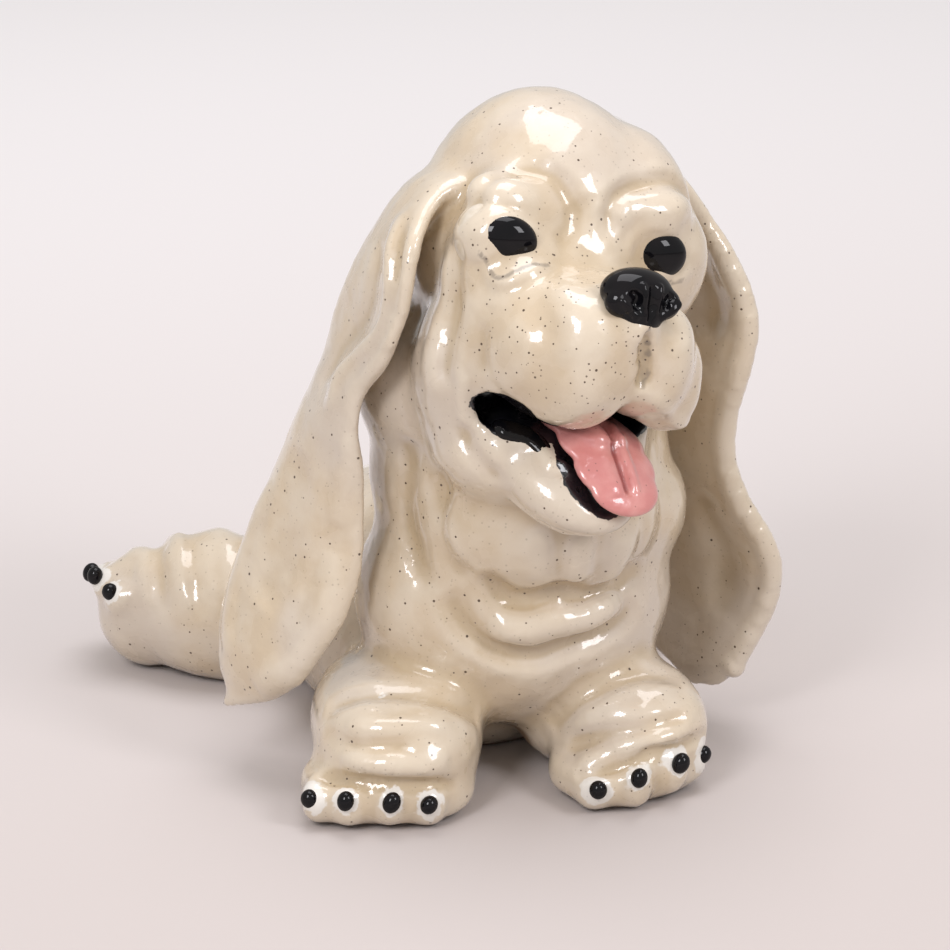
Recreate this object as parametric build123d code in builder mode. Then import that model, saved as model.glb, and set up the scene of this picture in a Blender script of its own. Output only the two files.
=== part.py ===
"""A hand-built ceramic dog figurine, lying down with its head up, its mouth open and long ears hanging.

Every lump, slab and coil of clay is a solid of its own, luted face to face on its neighbours.
Frame: millimetres, origin at the middle of the flat underside of the trunk, +Z up.
The dog looks along -Y, so its left side is at +X.
"""

from build123d import *
import os

os.makedirs("parts", exist_ok=True)

# Driving dimensions, mm
wall = 7  # thickness of the hollow-built shells
base_thickness = 7  # clay floor under the trunk
vent_radius = 5  # steam hole through the trunk's floor
passage_radius = 8  # holes that join the hollows of the shells

trunk_centre, trunk_size = (0, 24, 26), (54, 84, 42)
chest_centre, chest_size = (5, -46, 55), (48, 38, 42)
neck_centre, neck_size = (8, -42, 95), (46, 38, 58)
tail_centre, tail_size = (4, 112, 14), (11, 22, 11)

head_centre = (11.5, -46, 166)
head_turn, head_tilt = 14, 10  # degrees: turned to its left, tipped over to its left
head = Location(head_centre) * Location((0, 0, 0), (0, 0, head_turn)) * Location((0, 0, 0), (0, head_tilt, 0))
face = head * Location((-4, 3, 0))  # muzzle and eyes sit a little to the right of the skull's middle
body = Location((0, 0, 0))

# Places in the head's own frame, or the face's from the muzzle on; half-sizes along X, Y and Z
skull_centre, skull_size = (0, 2, 1), (40, 42, 42)
muzzle_centre, muzzle_size, muzzle_slope = (0, -44, -16), (27, 30, 18), (12, 0, 0)
cheek_out, cheek_size = 26, (19, 24, 29)
flew_out, flew_size = 17, (17, 27, 19)
jaw_centre, jaw_size, jaw_slope = (0, -40, -58), (24, 34, 12), (18, 0, 0)
pocket_centre, pocket_size, pocket_slope = (0, -34, -48), (25, 24, 11), (14, 0, 0)
tongue_radius = 12.5
nose_centre, nose_size = (0, -70, -5), (12.5, 8, 9)
eye_out, eyeball_radius = 25.5, 9
iris_size = (7, 3.2, 6)
claw_size = (3, 3, 3.6)

SIDES = {"right": -1, "left": 1}  # the dog's own right and left, and the sign of X there


def lump(frame, centre, half_sizes, turn=(0, 0, 0), grain=(20, 15, 30)):
    """An ellipsoid of clay at a place in a frame; the grain turns its seam and poles, and changes nothing else."""
    with BuildPart() as form:
        Sphere(1, rotation=grain)
        scale(by=half_sizes)
    return form.part.moved(frame * Location(centre, turn))


def slab(sections):
    """A slab through oval sections: each has a middle, the direction its width runs in, half its width and half its thickness."""
    with BuildPart() as form:
        for middle, along, half_width, half_thickness in sections:
            with BuildSketch(Plane(origin=middle, x_dir=along, z_dir=(0, 0, 1))):
                Ellipse(half_width, half_thickness)
        loft()
    return form.part


def coil(points, radius):
    """A rolled coil of clay along a smooth line."""
    with BuildPart() as form:
        with BuildLine() as line:
            Spline(*points)
        with BuildSketch(Plane(origin=line.line @ 0, z_dir=line.line % 0)):
            Circle(radius)
        sweep()
    return form.part


placed = []  # the outer form of each piece so far


def near(one, other):
    """Whether two forms' boxes touch, so that one may have to make room for the other."""
    a, b = one.bounding_box(), other.bounding_box()
    return all(low <= high for low, high in zip(tuple(a.min) + tuple(b.min), tuple(b.max) + tuple(a.max)))


def neighbours(form):
    """The forms already in place that this one is pressed against."""
    return [other for other in placed if near(form, other)]


def keep(piece, name):
    """Names a finished piece and writes it."""
    piece.label = name
    export_step(piece, f"parts/{name}.step")


def press(form, others, hollow=None):
    """Presses a form on others, hollows it, and drops the crumbs that are cut loose."""
    with BuildPart() as pressed:
        add(form)
        for other in others:
            add(other, mode=Mode.SUBTRACT)
        if hollow is not None:
            add(hollow, mode=Mode.SUBTRACT)
    return pressed.part.solids().sort_by(SortBy.VOLUME)[-1]


def press_on(name, form, hollow=None, cutters=()):
    """Presses a form on the pieces already in place, and keeps it as a piece of its own."""
    with BuildPart() as piece:
        add(press(form, [*neighbours(form), *cutters], hollow))
    keep(piece.part, name)
    placed.append(form)


def smaller(half_sizes, by=wall):
    return tuple(size - by for size in half_sizes)


# The ground, and the passages between the hollows
with BuildPart() as ground:
    Box(600, 600, 100, align=(Align.CENTER, Align.CENTER, Align.MAX))
placed.append(ground.part)

with BuildPart() as passages:
    with Locations((6, -44, 25)):
        Cylinder(passage_radius, 120, align=(Align.CENTER, Align.CENTER, Align.MIN))
    with Locations(Location((4, -50, 38), (-90, 0, 0))):
        Cylinder(passage_radius, 60, align=(Align.CENTER, Align.CENTER, Align.MIN))

# Eyes come first, because the skull's sockets are pressed round them
eyes = {}
for side, sign in SIDES.items():
    with BuildPart() as eyeball:
        with Locations(face * Location((sign * eye_out, -31, 3))):
            Sphere(eyeball_radius)
    eyes[side] = eyeball.part
    keep(eyeball.part, f"{side}_eyeball")
    placed.append(eyeball.part)
    press_on(f"{side}_iris", lump(face, (sign * (eye_out + 0.6), -38.4, 4), iris_size, (0, 0, sign * 6)))

# Trunk, with its flat floor and its steam hole
with BuildPart() as trunk_hollow:
    add(lump(body, trunk_centre, smaller(trunk_size)))
    split(bisect_by=Plane.XY.offset(base_thickness), keep=Keep.TOP)
with BuildPart() as vent:
    with Locations((0, 50, -1)):
        Cylinder(vent_radius, 3 * base_thickness, align=(Align.CENTER, Align.CENTER, Align.MIN))
press_on(
    "trunk_shell",
    lump(body, trunk_centre, trunk_size),
    trunk_hollow.part,
    [vent.part, passages.part],
)
press_on("tail", lump(body, tail_centre, tail_size, (-12, 0, 0)))

# Chest and neck
press_on(
    "chest_shell",
    lump(body, chest_centre, chest_size),
    lump(body, chest_centre, smaller(chest_size)),
    [passages.part],
)
press_on(
    "neck_shell",
    lump(body, neck_centre, neck_size),
    lump(body, neck_centre, smaller(neck_size)),
    [passages.part],
)
press_on(
    "skull_shell",
    lump(head, skull_centre, skull_size),
    lump(head, skull_centre, smaller(skull_size)),
    [passages.part],
)

# Face
for side, sign in SIDES.items():
    press_on(f"{side}_cheek", lump(head, (sign * cheek_out, -20, -28), cheek_size))
press_on("muzzle", lump(face, muzzle_centre, muzzle_size, muzzle_slope))
for side, sign in SIDES.items():
    press_on(f"{side}_flew", lump(face, (sign * flew_out, -46, -26), flew_size, (0, -8 * sign, 14 * sign)))
press_on("nose", lump(face, nose_centre, nose_size))
press_on("lower_jaw", lump(face, jaw_centre, jaw_size, jaw_slope))
tongue_line = [(2, -34, -46), (3, -50, -49), (4, -64, -54), (6, -74, -63)]
with BuildPart() as tongue_form:
    for (x, y, z), width, slope in zip(tongue_line, (9, tongue_radius, tongue_radius, 8), (-4, -14, -30, -52)):
        across = Plane(face * Location((x, y, z), (90 - slope, 0, 0)))
        with BuildSketch(across):
            Ellipse(width, 2.8)
    loft()
press_on("tongue", tongue_form.part)
press_on(
    "mouth_pocket",
    lump(face, pocket_centre, pocket_size, pocket_slope),
    lump(face, (0, -41, -50), smaller(pocket_size, 3), pocket_slope),
)
for side, sign in SIDES.items():
    press_on(f"{side}_brow", lump(face, (sign * 23, -30, 15), (14, 10, 9), (0, -14 * sign, 16 * sign)))
    lid = [(sign * x, y, z) for x, y, z in ((15, -38, 0), (19.5, -39.5, -5), (26, -39.5, -7.4), (32.5, -36.5, -4.5))]
    press_on(f"{side}_lower_lid", coil([(face * Location(p)).position for p in lid], 2.2))

# Ears: one slab each, hung from the side of the skull
ear_slabs = {
    "right": [
        ((-18, -42, 193), (0.15, -1, 0), 7, 4),
        ((-27, -44, 180), (0.15, -1, 0), 11, 4),
        ((-34, -45, 160), (0.2, -1, 0), 15, 4),
        ((-41, -44, 136), (0.3, -1, 0), 17, 4),
        ((-50, -42, 111), (0.4, -1, 0), 19, 4),
        ((-57, -41, 84), (0.5, -1, 0), 24, 4),
        ((-65, -42, 58), (0.6, -1, 0), 26, 4),
        ((-71, -43, 38), (0.65, -1, 0), 20, 4),
        ((-72, -44, 27), (0.7, -1, 0), 11, 4),
    ],
    "left": [
        ((45, -36, 187), (0, -1, 0), 7, 4),
        ((57, -34, 177), (0, -1, 0), 10, 4),
        ((67, -34, 160), (0.05, -1, 0), 13, 4),
        ((75, -34, 138), (0.25, -1, 0), 16, 4),
        ((74, -35, 113), (0.2, -1, 0), 16, 4),
        ((72, -34, 92), (0.2, -1, 0), 15, 4),
        ((75, -36, 70), (0.4, -1, 0), 16, 4),
        ((79, -39, 46), (0.75, -1, 0), 17, 4.5),
        ((78, -39, 26), (0.6, -1, 0), 11, 4.5),
        ((76, -39, 14), (0.5, -1, 0), 5, 3.5),
    ],
}
for side, sections in ear_slabs.items():
    press_on(f"{side}_ear", slab(sections))

# Folds of loose skin, laid on as pads
press_on("throat_fold", lump(body, (12, -72, 76), (33, 16, 12), (0, 10, 8)))
press_on("chest_fold", lump(body, (4, -76, 52), (24, 13, 11), (0, 4, 4)))

# Forelegs and paws: foreleg and paw places, how far the leg is splayed, and the claws' places
slant, plain, steep = (20, 15, 30), (0, 0, 35), (70, 10, 15)  # turns of a lump's seam that cut cleanly
fore = {
    "right": {
        "leg": (-38, -62, 22),
        "paw": (-43, -75, 9),
        "splay": -10,
        "grain": steep,
        "toe_grains": [steep, steep, plain, plain],
        "claws": [(-67, -88, 10), (-58, -95, 11), (-47, -99, 11), (-35.5, -99, 10)],
    },
    "left": {
        "leg": (30, -66, 22),
        "paw": (30, -79, 9),
        "splay": 24,
        "grain": slant,
        "toe_grains": [slant, slant, slant, slant],
        "claws": [(16.5, -99, 9), (28.5, -101, 12), (41, -98, 14), (50.5, -91, 12)],
    },
}
leg_size, paw_size, toe_size = (25, 34, 20), (26, 17, 10.5), (6.6, 10, 8)


def toes_and_claws(name, claw_places, towards, grains=None, toe_back=8):
    """Four toes side by side, and a claw pressed into the tip of each."""
    toe_forms = []
    for place, grain in zip(claw_places, grains or [(20, 15, 30)] * 4):
        middle = (Location(place, (0, 0, towards)) * Location((0, toe_back, -1.5))).position
        toe_forms.append(lump(body, tuple(middle), toe_size, (0, 0, towards), grain))
    claw_forms = [lump(body, place, claw_size, (0, 0, towards)) for place in claw_places]
    touching = [other for other in placed if any(near(form, other) for form in toe_forms)]
    toes = []
    for i, form in enumerate(toe_forms):
        toes.append(press(form, [other for other in touching + toe_forms[:i] if near(form, other)]))
    claws = []
    for form in claw_forms:
        claws.append(press(form, [other for other in touching + toe_forms if near(form, other)]))
    keep(Compound(toes), f"{name}_toes")
    keep(Compound(claws), f"{name}_claws")
    placed.extend(toe_forms)


for side, place in fore.items():
    turn = (0, 0, place["splay"])
    press_on(f"{side}_foreleg", lump(body, place["leg"], leg_size, turn, place["grain"]))
    press_on(f"{side}_forepaw", lump(body, place["paw"], paw_size, turn))
    toes_and_claws(f"{side}_forepaw", place["claws"], place["splay"], place["toe_grains"])

# Hind legs, stretched out behind with the soles turned up
hind_splay = 59
for side, sign in SIDES.items():
    turn = (0, 0, -sign * hind_splay)
    press_on(f"{side}_hindleg", lump(body, (sign * 66, 48, 21), (22, 38, 22), turn, plain))
    press_on(f"{side}_hindpaw", lump(body, (sign * 88, 62, 18.5), (17, 18, 17.5), turn))
    claws = [(sign * 103, 53, 24), (sign * 108, 62, 25), (sign * 107, 72, 24), (sign * 102, 81, 21)]
    toes_and_claws(f"{side}_hindpaw", claws, 180 - sign * hind_splay, [plain, steep, plain, steep])
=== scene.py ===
import bpy
import math
import numpy as np
from mathutils import Euler, Matrix, Vector
from mathutils.bvhtree import BVHTree


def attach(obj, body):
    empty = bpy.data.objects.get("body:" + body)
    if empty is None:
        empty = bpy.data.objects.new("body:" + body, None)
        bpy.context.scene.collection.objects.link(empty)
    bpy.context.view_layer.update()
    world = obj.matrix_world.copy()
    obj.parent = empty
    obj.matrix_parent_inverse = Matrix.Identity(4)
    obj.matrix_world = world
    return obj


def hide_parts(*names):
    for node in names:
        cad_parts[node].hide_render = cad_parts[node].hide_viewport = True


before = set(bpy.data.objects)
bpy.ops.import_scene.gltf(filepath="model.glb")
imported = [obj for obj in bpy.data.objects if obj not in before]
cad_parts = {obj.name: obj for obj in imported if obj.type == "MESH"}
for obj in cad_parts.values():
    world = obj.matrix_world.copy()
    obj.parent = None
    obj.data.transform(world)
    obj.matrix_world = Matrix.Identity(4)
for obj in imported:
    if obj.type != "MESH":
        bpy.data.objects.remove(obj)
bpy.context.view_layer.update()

mm = 0.001

headPose = {"place": (11.5, -46, 166), "turn": 14, "tilt": 10}  # turned to its left, tipped to its left
headFrame = (
    Matrix.Translation(Vector(headPose["place"]) * mm)
    @ Matrix.Rotation(math.radians(headPose["turn"]), 4, "Z")
    @ Matrix.Rotation(math.radians(headPose["tilt"]), 4, "Y")
)
frames = {"head": headFrame, "body": Matrix.Identity(4)}


def deselectAll():
    if bpy.context.object and bpy.context.object.mode != "OBJECT":
        bpy.ops.object.mode_set(mode="OBJECT")
    bpy.ops.object.select_all(action="DESELECT")


def pick(*objects):
    deselectAll()
    for ob in objects:
        ob.select_set(True)
    bpy.context.view_layer.objects.active = objects[-1]


def settle(ob):  # its place goes into its mesh
    pick(ob)
    bpy.ops.object.transform_apply(location=True, rotation=True, scale=True)


def turnOf(degrees):
    return Euler([math.radians(d) for d in degrees], "XYZ").to_matrix().to_4x4()


def addLump(where, centre, halfSizes, turn=(0, 0, 0), square=0.0):
    deselectAll()
    bpy.ops.mesh.primitive_uv_sphere_add(segments=48, ring_count=32, radius=1)
    ob = bpy.context.object
    if square:  # a boxier pebble than an ellipsoid
        co = readPoints(ob.data)
        power = 2 + square * 4
        norm = (np.abs(co) ** power).sum(1) ** (1 / power)
        writePoints(ob.data, co / norm[:, None])
    place = frames[where] @ Matrix.Translation(Vector(centre) * mm) @ turnOf(turn)
    ob.matrix_world = place @ Matrix.Diagonal((*[s * mm for s in halfSizes], 1))
    settle(ob)
    return ob


def applyModifier(ob, kind, **settings):
    pick(ob)
    mod = ob.modifiers.new(kind.lower(), kind)
    for key, value in settings.items():
        setattr(mod, key, value)
    bpy.ops.object.modifier_apply(modifier=mod.name)


def readPoints(mesh):
    co = np.empty(len(mesh.vertices) * 3, dtype=np.float64)
    mesh.vertices.foreach_get("co", co)
    return co.reshape(-1, 3)


def writePoints(mesh, co):
    mesh.vertices.foreach_set("co", np.ascontiguousarray(co, dtype=np.float64).ravel())
    mesh.update()


def catmull(points, each):  # a smooth line through rows of numbers
    p = np.asarray(points, dtype=float)
    q = np.vstack([2 * p[0] - p[1], p, 2 * p[-1] - p[-2]])
    out = []
    for i in range(1, len(q) - 2):
        t = np.linspace(0, 1, each, endpoint=False)[:, None]
        a, b, c, d = q[i - 1], q[i], q[i + 1], q[i + 2]
        curve = 2 * b + (c - a) * t
        curve = curve + (2 * a - 5 * b + 4 * c - d) * t**2 + (3 * b - a - 3 * c + d) * t**3
        out.append(0.5 * curve)
    out.append(p[-1:])
    return np.vstack(out)


class ClayWork:  # modelling-tool moves on a fused mesh, all in millimetres
    def __init__(self, ob):
        self.ob = ob
        mesh = ob.data
        mesh.calc_loop_triangles()
        self.co = readPoints(mesh) / mm
        tris = np.empty(len(mesh.loop_triangles) * 3, dtype=np.int32)
        mesh.loop_triangles.foreach_get("vertices", tris)
        self.tris = tris.reshape(-1, 3)
        edges = np.empty(len(mesh.edges) * 2, dtype=np.int32)
        mesh.edges.foreach_get("vertices", edges)
        self.edges = edges.reshape(-1, 2)
        self.count = len(self.co)
        self.degree = np.bincount(self.edges.ravel(), minlength=self.count).astype(float)
        self.refresh()

    def refresh(self):
        a, b, c = (self.co[self.tris[:, i]] for i in range(3))
        face = np.cross(b - a, c - a)
        no = np.zeros_like(self.co)
        for i in range(3):
            for k in range(3):
                no[:, k] += np.bincount(self.tris[:, i], weights=face[:, k], minlength=self.count)
        self.no = no / np.maximum(np.linalg.norm(no, axis=1), 1e-9)[:, None]
        self.tree = None

    def toWorld(self, where, points):
        m = np.array(frames[where])
        p = np.asarray(points, dtype=float)
        return p @ m[:3, :3].T + m[:3, 3] / mm

    def toLocal(self, where, points):
        m = np.array(frames[where].inverted())
        p = np.asarray(points, dtype=float)
        return p @ m[:3, :3].T + m[:3, 3] / mm

    def surface(self):
        if self.tree is None:
            self.tree = BVHTree.FromPolygons([Vector(c) for c in self.co], self.tris.tolist())
        return self.tree

    def snap(self, points):  # nearest points on the clay
        tree = self.surface()
        out = []
        for p in points:
            hit = tree.find_nearest(Vector(p))
            out.append(hit[0] if hit[0] is not None else Vector(p))
        return np.array(out)

    def distances(self, line, reach):  # distance and share along the line, for points near it
        lo, hi = line.min(0) - reach, line.max(0) + reach
        near = np.where(np.all((self.co > lo) & (self.co < hi), axis=1))[0]
        if not len(near):
            return near, np.zeros(0), np.zeros(0)
        p = self.co[near]
        best = np.full(len(near), 1e9)
        along = np.zeros(len(near))
        parts = max(len(line) - 1, 1)
        if len(line) == 1:
            best = np.linalg.norm(p - line[0], axis=1)
        for i in range(len(line) - 1):
            a, d = line[i], line[i + 1] - line[i]
            t = np.clip(((p - a) @ d) / max(d @ d, 1e-9), 0, 1)
            gap = np.linalg.norm(p - a - t[:, None] * d, axis=1)
            closer = gap < best
            best[closer] = gap[closer]
            along[closer] = (i + t[closer]) / parts
        keep = best < reach
        return near[keep], best[keep], along[keep]

    def stroke(self, where, points, width, depth, ends=0.15):
        # pushes clay in along a line (depth above 0) or pulls it out (below 0)
        line = catmull(points, 6) if len(points) > 2 else np.asarray(points, dtype=float)
        line = self.snap(self.toWorld(where, line))
        which, gap, along = self.distances(line, width)
        if not len(which):
            return
        fall = (1 - (gap / width) ** 2) ** 2
        fall = fall * np.clip(np.minimum(along, 1 - along) / ends, 0, 1) ** 0.5
        self.co[which] -= self.no[which] * (depth * fall)[:, None]
        self.refresh()

    def strokes(self, where, rows):
        for points, width, depth in rows:
            self.stroke(where, points, width, depth)

    def average(self, values):  # of each point's neighbours, column by column
        a, b = self.edges[:, 0], self.edges[:, 1]
        mean = np.empty_like(values)
        for k in range(values.shape[1]):
            mean[:, k] = np.bincount(a, weights=values[b, k], minlength=self.count)
            mean[:, k] += np.bincount(b, weights=values[a, k], minlength=self.count)
        return mean / self.degree[:, None]

    def relax(self, rounds=1, step=0.5):
        for _ in range(rounds):
            self.co += (self.average(self.co) - self.co) * step
        self.refresh()

    def makeRoom(self, where, centre, radius):  # presses a ball in, so that the clay lies outside it
        c = self.toWorld(where, [centre])[0]
        d = self.co - c
        r = np.linalg.norm(d, axis=1)
        inside = r < radius
        self.co[inside] = c + d[inside] / np.maximum(r[inside], 1e-6)[:, None] * radius
        self.refresh()

    def fillCreases(self, rounds, box=None, where="body"):
        # a thumb fills the hollows and leaves the swells, less and less near the sides of the box
        fade, step, refreshEach = 6, 0.6, 10
        weight = np.ones(self.count)
        if box is not None:
            p = self.toLocal(where, self.co)
            lo, hi = np.array(box[0], dtype=float), np.array(box[1], dtype=float)
            edge = np.minimum(p - lo, hi - p).min(1)
            weight = np.clip(edge / fade, 0, 1)
        for turn in range(rounds):
            move = (self.average(self.co) - self.co) * step
            outwards = (move * self.no).sum(1) > 0
            self.co += move * (outwards * weight)[:, None]
            if turn % refreshEach == refreshEach - 1:
                self.refresh()
        self.refresh()

    def pushIn(self, where, centre, halfSizes, turn=(0, 0, 0)):  # presses an oval tool in from the front
        place = np.array(frames[where] @ Matrix.Translation(Vector(centre) * mm) @ turnOf(turn))
        q = (self.co - place[:3, 3] / mm) @ place[:3, :3] / np.asarray(halfSizes, dtype=float)
        inside = (q**2).sum(1) < 1
        q[inside, 1] = np.sqrt(np.maximum(1 - q[inside, 0] ** 2 - q[inside, 2] ** 2, 0))
        moved = (q * np.asarray(halfSizes, dtype=float)) @ place[:3, :3].T + place[:3, 3] / mm
        self.co[inside] = moved[inside]
        self.refresh()

    def finish(self):
        writePoints(self.ob.data, self.co * mm)


hindToes = [(98, 53, 27), (101, 62, 29), (100, 72, 27), (96, 80, 22)]  # on its left, mirrored on its right
hindToeSize = (8, 6.5, 6.5)

# frame, centre, half-sizes, turn and squareness of each lump, in millimetres and degrees
clayForms = {
    "trunk": [
        ("body", (0, 28, 26), (54, 82, 42)),
        ("body", (0, 70, 24), (50, 44, 34)),
    ],
    "tail": [("body", (4, 108, 14), (10, 20, 9), (-12, 0, 0))],
    "chest": [("body", (5, -46, 55), (49, 38, 42))],
    "neck": [
        ("body", (8, -42, 95), (46, 38, 58)),
        ("body", (-13, -42, 120), (29, 32, 30)),
        ("body", (26, -46, 80), (33, 30, 27)),
        ("body", (8, -66, 84), (36, 27, 24)),
    ],
    "skull": [
        ("head", (1, 2, 3), (34, 40, 40)),
        ("head", (-1, -2, -7), (38, 39, 33)),
        ("head", (18, -8, 8), (24, 29, 28)),
    ],
    "rightCheek": [
        ("head", (-25, -24, -8), (16, 17, 24)),
        ("head", (-23, -20, -36), (20, 22, 28)),
        ("head", (-18, -26, -58), (19, 22, 17)),
    ],
    "leftCheek": [
        ("head", (28, -22, -3), (17.5, 15, 21)),
        ("head", (19, -22, -34), (17, 20, 26)),
        ("head", (12, -26, -56), (18, 22, 18)),
    ],
    "muzzle": [
        ("head", (-5, -42, -20), (24, 30, 17), (12, 0, 0)),
        ("head", (-4.5, -56, -12), (12, 19, 11), (8, 0, 0)),
    ],
    "rightBrow": [("head", (-24, -23, 12), (14, 11.5, 9), (0, 16, 0))],
    "leftBrow": [("head", (20, -28, 13), (14, 11, 8), (0, -10, 0))],
    "rightFlew": [
        ("head", (-16, -50, -24.5), (14, 22, 21), (0, 0, 14), 0.16),
        ("head", (-21, -42, -25), (15, 20, 16), (0, 0, 0), 0.1),
        ("head", (-25, -36, -18), (12.5, 15, 20), (0, 0, 10)),
    ],
    "leftFlew": [
        ("head", (9.5, -50, -24), (14, 22, 18), (0, 0, -10), 0.14),
        ("head", (19, -50, -31), (11.5, 14, 15.5), (0, 0, -20), 0.16),
    ],
    "jaw": [
        ("head", (-4, -44, -60.5), (21, 27, 11.5), (26, 0, 0)),
    ],
    "rightForeleg": [("body", (-35, -60, 20), (26, 38, 20), (0, 0, -10), 0.1)],
    "leftForeleg": [("body", (30, -64, 19), (23, 35, 19), (0, 0, 24), 0.1)],
    "rightForepaw": [("body", (-42, -77, 8), (26, 17, 9), (0, 0, -8), 0.25)],
    "leftForepaw": [("body", (31, -80, 8), (24, 17, 9), (0, 0, 20), 0.25)],
    "rightForeToes": [
        ("body", (-63.5, -82, 8), (6, 9, 7.5), (0, 0, -30)),
        ("body", (-56, -87, 8.5), (6.5, 9, 8), (0, 0, -18)),
        ("body", (-45, -90, 8.5), (6.8, 9, 8), (0, 0, -4)),
        ("body", (-34, -91, 7.5), (6.8, 9, 7.5), (0, 0, 4)),
    ],
    "leftForeToes": [
        ("body", (17, -93, 7.5), (6.5, 9, 7.5), (0, 0, 4)),
        ("body", (28, -95, 9), (6.5, 9, 8.5), (0, 0, 10)),
        ("body", (39.5, -91, 10), (6.2, 9, 8.5), (0, 0, 26)),
        ("body", (47.5, -85, 9.5), (5.5, 8, 7.5), (0, 0, 40)),
    ],
    "rightHindleg": [("body", (-66, 48, 23), (23, 38, 25), (0, 0, 59))],
    "leftHindleg": [("body", (66, 48, 23), (23, 38, 25), (0, 0, -59))],
    "rightHindpaw": [("body", (-89, 62, 20), (17, 18, 20), (0, 0, 59))],
    "leftHindpaw": [("body", (89, 62, 20), (17, 18, 20), (0, 0, -59))],
    "rightHindToes": [("body", (-x, y, z), hindToeSize) for x, y, z in hindToes],
    "leftHindToes": [("body", (x, y, z), hindToeSize) for x, y, z in hindToes],
}

# what the mouth's tool takes out
mouthCuts = [
    ("head", (-3, -40, -44), (31, 19, 7), (10, 0, 0)),
    ("head", (1, -62, -55.5), (17, 28, 8), (36, 0, 0)),
    ("head", (-24.5, -38, -43.5), (8, 16, 8.5), (4, 0, 0)),
]

# ears: front edge, back edge, how far the middle bulges outwards, thickness
earRows = {
    "right": [
        ((-14, -62, 186), (-14, -30, 184), 1, 6),
        ((-23, -66, 182), (-24, -30, 177), 1, 7),
        ((-30, -73, 174), (-33, -30, 165), 1, 7.5),
        ((-34, -76, 163), (-40, -30, 153), 0, 8),
        ((-36, -75, 151), (-44, -28, 143), -1, 8),
        ((-41, -73, 137), (-47, -27, 131), -1, 8),
        ((-46, -66, 126), (-51, -26, 119), 1, 7.5),
        ((-47, -64, 115), (-56, -24, 107), 4, 7),
        ((-45, -64, 102), (-63, -22, 91), 5, 7),
        ((-45, -64, 87), (-70, -20, 75), 6, 7),
        ((-46, -64, 71), (-77, -20, 59), 6, 7),
        ((-51, -64, 56), (-81, -22, 44), 6, 7.5),
        ((-59, -61, 43), (-82, -27, 32), 5, 8),
        ((-63, -59, 35), (-81, -31, 26), 3, 7),
        ((-65, -56, 28), (-79, -34, 20), 2, 7),
    ],
    "left": [
        ((34, -48, 195), (36, -30, 195), 2, 6),
        ((47, -46, 186), (47, -20, 185), 2, 7),
        ((58, -44, 176), (54, -16, 173), 2, 7),
        ((66, -44, 165), (58, -14, 162), 1, 7),
        ((72, -47, 154), (60, -12, 149), 0, 7.5),
        ((77.5, -49, 141), (60, -10, 133), -1, 8),
        ((78.5, -50, 130), (59, -9, 119), -2, 8),
        ((76, -50, 118), (58, -8, 107), -2, 8),
        ((73, -48, 104), (57, -8, 93), -2, 7.5),
        ((73, -48, 91), (56, -8, 80), -1, 7.5),
        ((77, -50, 78), (56, -8, 66), 0, 7.5),
        ((84, -52, 66), (56, -9, 52), 1, 8),
        ((88, -52, 54), (57, -9, 40), 1, 8.5),
        ((86, -50, 41), (58, -10, 29), 0, 8.5),
        ((81, -48, 29), (60, -14, 20), 0, 8.5),
        ((78, -47, 21), (63, -24, 17), 0, 8),
        ((77, -46, 14), (69, -36, 12), 0, 7),
    ],
}


def addEar(rows, side):
    sign = -1 if side == "right" else 1
    table = [[*front, *back, bulge, thick] for front, back, bulge, thick in rows]
    rows = catmull(table, 5)
    ringPoints, roundRows = 28, 7  # the last rows round off
    tipThickness, tipWidth = 0.35, 0.12
    verts, faces = [], []
    for i, row in enumerate(rows):
        front, back, bulge, thick = row[:3], row[3:6], row[6], row[7]
        nextRow = rows[min(i + 1, len(rows) - 1)]
        lastRow = rows[max(i - 1, 0)]
        down = (nextRow[:3] + nextRow[3:6]) - (lastRow[:3] + lastRow[3:6])
        across = back - front
        outward = np.cross(across, down)
        outward /= np.linalg.norm(outward)
        if outward[0] * sign < 0:
            outward = -outward
        left = min(1, (len(rows) - 1 - i) / roundRows)
        ends = tipThickness + (1 - tipThickness) * left
        narrow = (1 - max(tipWidth, math.sqrt(1 - (1 - left) ** 2))) / 2
        front, back = front + (back - front) * narrow, back + (front - back) * narrow
        for k in range(ringPoints):
            angle = 2 * math.pi * k / ringPoints
            u = 0.5 - 0.5 * math.copysign(abs(math.cos(angle)) ** 0.75, math.cos(angle))
            s = math.copysign(abs(math.sin(angle)) ** 0.6, math.sin(angle))
            middle = front + across * u + outward * bulge * 4 * u * (1 - u)
            verts.append((middle + outward * s * thick / 2 * ends) * mm)
    n = ringPoints
    for i in range(len(rows) - 1):
        for k in range(n):
            ahead = (k + 1) % n
            faces.append((i * n + k, i * n + ahead, (i + 1) * n + ahead, (i + 1) * n + k))
    faces.append(tuple(range(n)))
    faces.append(tuple(reversed(range((len(rows) - 1) * n, len(rows) * n))))
    mesh = bpy.data.meshes.new(f"{side}EarSlab")
    mesh.from_pydata([tuple(v) for v in verts], [], faces)
    ob = bpy.data.objects.new(f"{side}EarSlab", mesh)
    bpy.context.collection.objects.link(ob)
    pick(ob)
    bpy.ops.object.mode_set(mode="EDIT")
    bpy.ops.mesh.select_all(action="SELECT")
    bpy.ops.mesh.normals_make_consistent(inside=False)
    bpy.ops.object.mode_set(mode="OBJECT")
    return ob


def fuse(objects, name, voxel):
    pick(*objects)
    bpy.ops.object.join()
    ob = bpy.context.object
    ob.name = name
    applyModifier(ob, "REMESH", mode="VOXEL", voxel_size=voxel * mm, use_smooth_shade=True)
    return ob


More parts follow.
